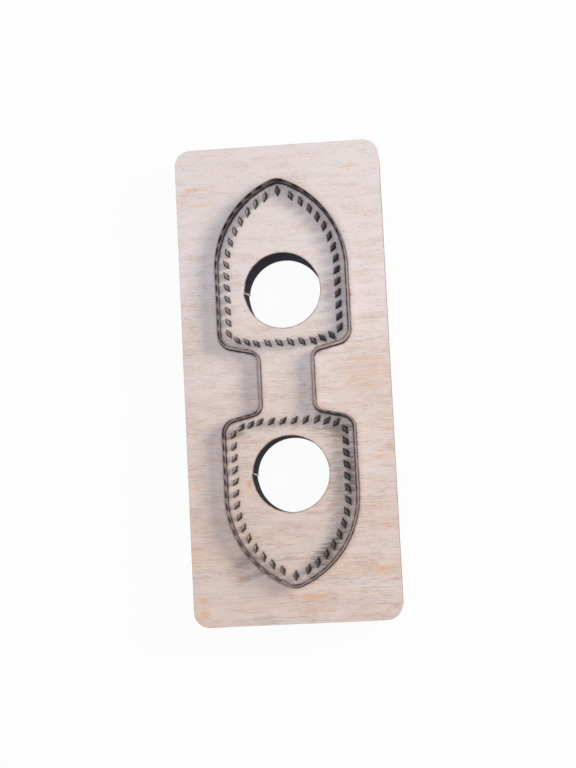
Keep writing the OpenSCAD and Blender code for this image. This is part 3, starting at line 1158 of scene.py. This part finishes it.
@dataclass
class DieBoard:
    """The plywood board with its finger holes, the kerf of the rule and the pockets of the punches."""

    path: CutPath
    punches: StitchPunches
    veneer: VeneerFinish = field(default_factory=VeneerFinish)
    sawn: SawnEdgeFinish = field(default_factory=SawnEdgeFinish)
    charred: CharredFinish = field(default_factory=CharredFinish)
    torn: SawnEdgeFinish = SawnEdgeFinish("torn_plywood_tab", "#efe8e4", "#ddd2cb", "#bcaea4")
    width: float = 72.5
    length: float = 168.5
    thickness: float = BOARD_MM
    corner_r: float = 5.5
    corner_steps: int = 14
    arris: float = 0.12
    sharp_deg: float = 30.0
    hole_d: float = 26.7
    hole_y: float = 32.3
    hole_steps: int = 120
    hole_margin: float = 1.0
    kerf_w: float = 0.81
    pocket_clearance: float = 0.05
    # The stub of the tab in each hole, and the laser's lead-in below it
    tab_w: float = 0.55
    tab_proud: float = 0.25
    tab_slack_deg: float = 0.05
    lead_in: float = 0.3
    lead_in_deg: float = 13.0
    tab_angles: dict[Panel, float] = field(default_factory=lambda: {Panel.UPPER: 182.0, Panel.LOWER: 177.5})
    tab_slants: dict[Panel, float] = field(default_factory=lambda: {Panel.UPPER: -8.2, Panel.LOWER: 0.0})
    slant_reach: float = 2.8
    # Burn beside the cuts, with painted shade below the kerf and beside the right pockets, and the rings of
    # points that carry it
    hole_fade: float = 0.2
    kerf_fade: float = 0.1
    burn_and_shade_lean: float = 0.006
    burn_and_shade_fall: float = 0.25
    burn_rings: tuple[float, ...] = (0.12, 0.3, 0.65)
    clear_mm: float = 3.0
    # The grid of points on the open face
    grid_mm: float = 5.0
    grid_start: float = 4.0
    grid_stop: float = 3.0
    weld_mm: float = 1e-6

    def blank(self) -> np.ndarray:
        """Draws the board's outline, inside its worn arris.

        Returns:
            Points once round.
        """
        x, y = self.width / 2 - self.corner_r, self.length / 2 - self.corner_r
        radius = self.corner_r - self.arris
        points = []
        for number, (right, upper) in enumerate(((1, 1), (-1, 1), (-1, -1), (1, -1))):
            turn = np.radians(np.linspace(0, 90, self.corner_steps) + 90 * number)
            corner = (right * x + radius * np.cos(turn), upper * y + radius * np.sin(turn))
            points.append(np.column_stack(corner))
        return np.vstack(points)

    def hole(self, panel: Panel, grow: float) -> np.ndarray:
        """Draws a finger hole with the stub of the tab that held its waste, and the lead-in below it.

        Args:
            panel: The panel that the hole is in.
            grow: How far outside the hole's wall the line runs. A line outside it passes behind the tab.

        Returns:
            Points once round.
        """
        radius = self.hole_d / 2
        tab = self.tab_angles[panel]
        half = math.degrees(self.tab_w / 2 / radius)
        start, stop = tab + half, tab - half + 360
        angles = np.linspace(start, stop, self.hole_steps)
        radii = radius + grow + self.lead_in * np.clip(1 - (angles - start) / self.lead_in_deg, 0, 1)
        if grow == 0:
            angles = np.concatenate((angles, [stop, start + 360]))
            radii = np.concatenate((radii, [radius - self.tab_proud] * 2))
        turn = np.radians(angles)
        return np.column_stack((radii * np.cos(turn), panel.value * self.hole_y + radii * np.sin(turn)))

    def pockets(self, places: list[PunchPlace], gap: float) -> list[np.ndarray]:
        """Draws a diamond round each punch.

        Args:
            places: Where the punches stand.
            gap: Distance from the punch's sides.

        Returns:
            Four corners for each punch.
        """
        long, short = self.punches.long_mm / 2, self.punches.short_mm / 2
        growth = 1 + gap / (long * short / math.hypot(long, short))
        corners = np.array([(long, 0), (0, short), (-long, 0), (0, -short)]) * growth
        made = []
        for place in places:
            cos, sin = math.cos(place.angle), math.sin(place.angle)
            made.append(corners @ np.array([(cos, sin), (-sin, cos)]) + (place.x, place.y))
        return made

    def face(self) -> tuple[np.ndarray, np.ndarray, np.ndarray]:
        """Fills the board's face with triangles, between all its cuts.

        Returns:
            Points, triangles, and each point's distance from the nearest cut.
        """
        places = self.punches.places()
        holes = [self.hole(panel, 0.0) for panel in Panel]
        kerfs = self.path.kerfs(self.kerf_w / 2, self.path.bridge_runs)
        burn_and_shade_kerfs = self.path.kerfs(self.kerf_w / 2, self.path.side_bridges())
        pockets = self.pockets(places, self.pocket_clearance)
        rings = []
        for gap in self.burn_rings:
            rings += [self.hole(panel, gap) for panel in Panel]
            rings += [beside(self.path.lap[:-1], side * (self.kerf_w / 2 + gap)) for side in (1, -1)]
            rings += self.pockets(places, self.pocket_clearance + gap)
        points: list[tuple[float, float]] = []
        edges: list[tuple[int, int]] = []
        faces: list[list[int]] = []
        for loop in [self.blank(), *holes, *kerfs, *pockets]:
            first = len(points)
            points.extend(map(tuple, loop))
            faces.append(list(range(first, len(points))))
        for loop in rings:
            first, count = len(points), len(loop)
            points.extend(map(tuple, loop))
            edges.extend((first + i, first + (i + 1) % count) for i in range(count))
        taken = np.array(points)
        columns, rows = [
            np.arange(-size / 2 + self.grid_start, size / 2 - self.grid_stop, self.grid_mm)
            for size in (self.width, self.length)
        ]
        # A point of the grid stays clear of the lines by a third of its spacing
        for x in columns:
            for y in rows:
                if np.hypot(*(taken - (x, y)).T).min() > self.grid_mm / 3:
                    points.append((x, y))
        inside_faces = 1
        spots, _, made, _, _, owners = delaunay_2d_cdt(
            [Vector(point) for point in points], edges, faces, inside_faces, self.weld_mm, True
        )
        # A triangle of the board lies in the blank, which is the first face, and in no cut
        triangles = np.array([face for face, owner in zip(made, owners) if list(owner) == [0]])
        flat = np.array([tuple(spot) for spot in spots])
        # The burn reaches farther below the kerf, partly smoke and partly painted shade on the rule's side
        # away from the light; beside the pockets it widens towards the right, partly burn and partly painted
        # shade where the rule's shadow falls on the right rows; round the holes it is lighter and even
        burnt_and_shaded = [
            self.cut_distance(flat, cuts, fall) + fade
            for cuts, fall, fade in (
                (holes, 0.0, self.hole_fade),
                (burn_and_shade_kerfs, self.burn_and_shade_fall, self.kerf_fade),
                (pockets, 0.0, -self.burn_and_shade_lean * flat[:, 0]),
            )
        ]
        return flat, triangles, np.min(burnt_and_shaded, axis=0)

    def cut_distance(self, spots: np.ndarray, voids: list[np.ndarray], fall: float) -> np.ndarray:
        """Measures how far points are from the nearest cut, in millimetres, up to a limit.

        Args:
            spots: The points.
            voids: Outlines of the cuts.
            fall: How much nearer a point counts straight below a cut, and farther above it.

        Returns:
            One distance for each point.
        """
        starts = np.vstack(voids)
        spans = np.vstack([np.roll(loop, -1, axis=0) for loop in voids]) - starts
        lengths = np.maximum((spans**2).sum(axis=1), self.weld_mm**2)
        distance = np.full(len(spots), self.clear_mm)
        for number, spot in enumerate(spots):
            share = np.clip(((spot - starts) * spans).sum(axis=1) / lengths, 0, 1)
            gaps = starts + spans * share[:, None] - spot
            reach = np.hypot(*gaps.T)
            near = int(np.argmin(reach))
            above = gaps[near, 1] / max(reach[near], self.weld_mm)
            distance[number] = min(self.clear_mm, reach[near] - fall * above)
        return distance

    def underside(self, flat: np.ndarray) -> np.ndarray:
        """Draws the lower face, turned round a hole whose tab tore askew through the board.

        Args:
            flat: The upper face's points.

        Returns:
            The lower face's points.
        """
        lower = flat.copy()
        ring = max(self.burn_rings)
        for panel in Panel:
            reach = flat - (0, panel.value * self.hole_y)
            gap = np.hypot(*reach.T) - self.hole_d / 2 - ring
            share = np.clip(1 - gap / (self.slant_reach - ring), 0, 1)
            turn = math.radians(self.tab_slants[panel]) * share
            cos, sin = np.cos(turn), np.sin(turn)
            x, y = reach.T
            lower += np.column_stack((cos * x - sin * y, sin * x + cos * y)) - reach
        return lower

    def rim_of(self, middle: np.ndarray) -> tuple[float, Wall]:
        """Tells how a wall meets the faces.

        Args:
            middle: The middle of the wall's upper edge.

        Returns:
            The width of its worn rim, and what made the wall.
        """
        for panel in Panel:
            reach = middle - (0, panel.value * self.hole_y)
            if np.hypot(*reach) < self.hole_d / 2 + self.hole_margin:
                angle = math.degrees(math.atan2(reach[1], reach[0])) % 360
                half = math.degrees(self.tab_w / self.hole_d)
                torn = abs(angle - self.tab_angles[panel]) < half + self.tab_slack_deg
                return 0.0, Wall.TORN if torn else Wall.BURNT
        x = abs(middle[0]) - self.width / 2 + self.corner_r
        y = abs(middle[1]) - self.length / 2 + self.corner_r
        if math.hypot(max(0.0, x), max(0.0, y)) > self.corner_r - 2 * self.arris:
            return self.arris, Wall.SAWN
        return 0.0, Wall.BURNT

    def mesh(self) -> bpy.types.Mesh:
        """Joins both faces and every wall of the board to one closed mesh.

        Returns:
            The mesh, with each point's distance from a cut and each face's material.
        """
        flat, triangles, distance = self.face()
        used = np.unique(triangles)
        renumber = np.full(len(flat), -1)
        renumber[used] = np.arange(len(used))
        flat, distance, triangles = flat[used], distance[used], renumber[triangles]
        count, top = len(flat), self.thickness
        edges = np.vstack((triangles[:, [0, 1]], triangles[:, [1, 2]], triangles[:, [2, 0]]))
        known = {(int(tail), int(head)) for tail, head in edges}
        border = sorted((tail, head) for tail, head in known if (head, tail) not in known)
        walls = {edge: self.rim_of((flat[edge[0]] + flat[edge[1]]) / 2) for edge in border}
        lean = np.zeros((count, 2))
        rims = np.zeros(count)
        for (tail, head), (rim, _) in walls.items():
            span = flat[head] - flat[tail]
            along = span / max(np.hypot(*span), self.weld_mm)
            for end in (tail, head):
                lean[end] += (along[1], -along[0])
                rims[end] = max(rims[end], rim)
        sizes = np.hypot(*lean.T)
        lean[sizes > 0] /= sizes[sizes > 0, None]
        verts = [(x, y, top) for x, y in flat] + [(x, y, 0.0) for x, y in self.underside(flat)]
        reach = list(distance) * 2
        # The upper and the lower end of the wall at each point of the border
        ends: dict[int, tuple[int, int]] = {}
        for spot in sorted({end for edge in border for end in edge}):
            if rims[spot] == 0:
                ends[spot] = (spot, count + spot)
                continue
            x, y = flat[spot] + lean[spot] * rims[spot]
            ends[spot] = (len(verts), len(verts) + 1)
            verts += [(x, y, top - rims[spot]), (x, y, rims[spot])]
            reach += [distance[spot]] * 2
        faces = [tuple(row) for row in triangles] + [tuple(row[::-1] + count) for row in triangles]
        kinds = [Wall.FACE.value] * len(faces)
        for (tail, head), (_, wall) in walls.items():
            (tail_top, tail_low), (head_top, head_low) = ends[tail], ends[head]
            for quad, kind in (
                ((tail, tail_top, head_top, head), Wall.FACE),
                ((tail_top, tail_low, head_low, head_top), wall),
                ((tail_low, tail + count, head + count, head_low), Wall.FACE),
            ):
                if len(set(quad)) >= 3:
                    faces.append(tuple(dict.fromkeys(quad)))
                    kinds.append(kind.value)
        mesh = bpy.data.meshes.new("die_board_plywood")
        mesh.from_pydata([(x * MM, y * MM, z * MM) for x, y, z in verts], [], faces)
        mesh.polygons.foreach_set("material_index", kinds)
        mesh.attributes.new(CUT_ATTRIBUTE, "FLOAT", "POINT").data.foreach_set("value", reach)
        mesh.update()
        return mesh

    def build(self) -> bpy.types.Object:
        """Builds and dresses the board.

        Returns:
            The piece.
        """
        mesh = self.mesh()
        for finish in (self.veneer, self.sawn, self.charred, self.torn):
            mesh.materials.append(finish.material())
        shade_by_angle(mesh, self.sharp_deg)
        return as_piece("die_board_plywood", mesh, "plywood", "die_board")


@dataclass(frozen=True)
class Lamp:
    """A soft lamp: its place and size in millimetres, its power in watts and its colour."""

    name: str
    place: Triple
    size: float
    power: float
    colour: str


@dataclass
class Studio:
    """The paper floor, the lamps and the camera, all aimed at the board."""

    floor: FloorFinish = field(default_factory=FloorFinish)
    floor_mm: float = 20000.0
    eye: Triple = (44.91, -50.06, 571.46)
    target: Triple = (0.376, -0.934, BOARD_MM)
    roll_deg: float = 2.80
    focal_px: float = 1593.0
    image_h_px: float = 768.0
    sensor_mm: float = 36.0
    nearest_mm: float = 10.0
    sky: str = "#e6edfa"
    sky_strength: float = 0.32
    lamps: tuple[Lamp, ...] = (
        Lamp("key_softbox", (720.0, 225.0, 590.0), 370.0, 5.25, "#fff3e6"),
        Lamp("overhead_softbox", (-60.0, -40.0, 900.0), 600.0, 4.2, "#f0f4ff"),
    )

    def aim(self, place: Vector, target: Vector, roll: float) -> Matrix:
        """Makes a frame at a place that looks down its -Z at a target.

        Args:
            place: Where it stands.
            target: What it looks at.
            roll: Turn of its upright to the right, in radians.

        Returns:
            The frame as a matrix.
        """
        forward = (target - place).normalized()
        side = forward.cross(Vector((0.0, 1.0, 0.0))).normalized()
        up = side.cross(forward) * math.cos(roll) + side * math.sin(roll)
        axes = Matrix((forward.cross(up), up, -forward)).transposed()
        return Matrix.Translation(place) @ axes.to_4x4()

    def build(self) -> None:
        """Builds the studio."""
        scene = bpy.context.scene
        half = self.floor_mm / 2 * MM
        corners = [(-half, -half, 0), (half, -half, 0), (half, half, 0), (-half, half, 0)]
        sheet = bpy.data.meshes.new("paper_floor")
        sheet.from_pydata(corners, [], [(0, 1, 2, 3)])
        sheet.materials.append(self.floor.material())
        floor = bpy.data.objects.new("paper_floor", sheet)
        scene.collection.objects.link(floor)
        target = Vector(self.target) * MM
        for lamp in self.lamps:
            light = bpy.data.lights.new(lamp.name, "AREA")
            light.size, light.energy = lamp.size * MM, lamp.power
            light.color = linear(lamp.colour)[:3]
            holder = bpy.data.objects.new(lamp.name, light)
            holder.matrix_world = self.aim(Vector(lamp.place) * MM, target, 0.0)
            scene.collection.objects.link(holder)
        world = bpy.data.worlds.new("soft_room")
        world.use_nodes = True
        world.node_tree.nodes.clear()
        glow = add(world.node_tree, "ShaderNodeBackground", {0: linear(self.sky), 1: self.sky_strength})
        add(world.node_tree, "ShaderNodeOutputWorld", {"Surface": glow})
        scene.world = world
        lens = bpy.data.cameras.new("photo_camera")
        lens.sensor_fit, lens.sensor_height = "VERTICAL", self.sensor_mm
        lens.lens = self.focal_px / self.image_h_px * self.sensor_mm
        lens.clip_start = self.nearest_mm * MM
        camera = bpy.data.objects.new("photo_camera", lens)
        camera.matrix_world = self.aim(Vector(self.eye) * MM, target, math.radians(self.roll_deg))
        scene.collection.objects.link(camera)
        scene.camera = camera
        scene.view_settings.view_transform = "Standard"
        LOG.info("studio: %d lamps, lens %.1f mm", len(self.lamps), lens.lens)


def main() -> None:
    """Builds the die and its studio."""
    logging.basicConfig(level=logging.INFO, format="%(name)s: %(message)s")
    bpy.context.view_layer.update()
    path = CutPath(CutLine())
    punches = StitchPunches()
    DieBoard(path, punches).build()
    CuttingRule(path).build()
    punches.build()
    Studio().build()


if __name__ == "__main__":
    main()
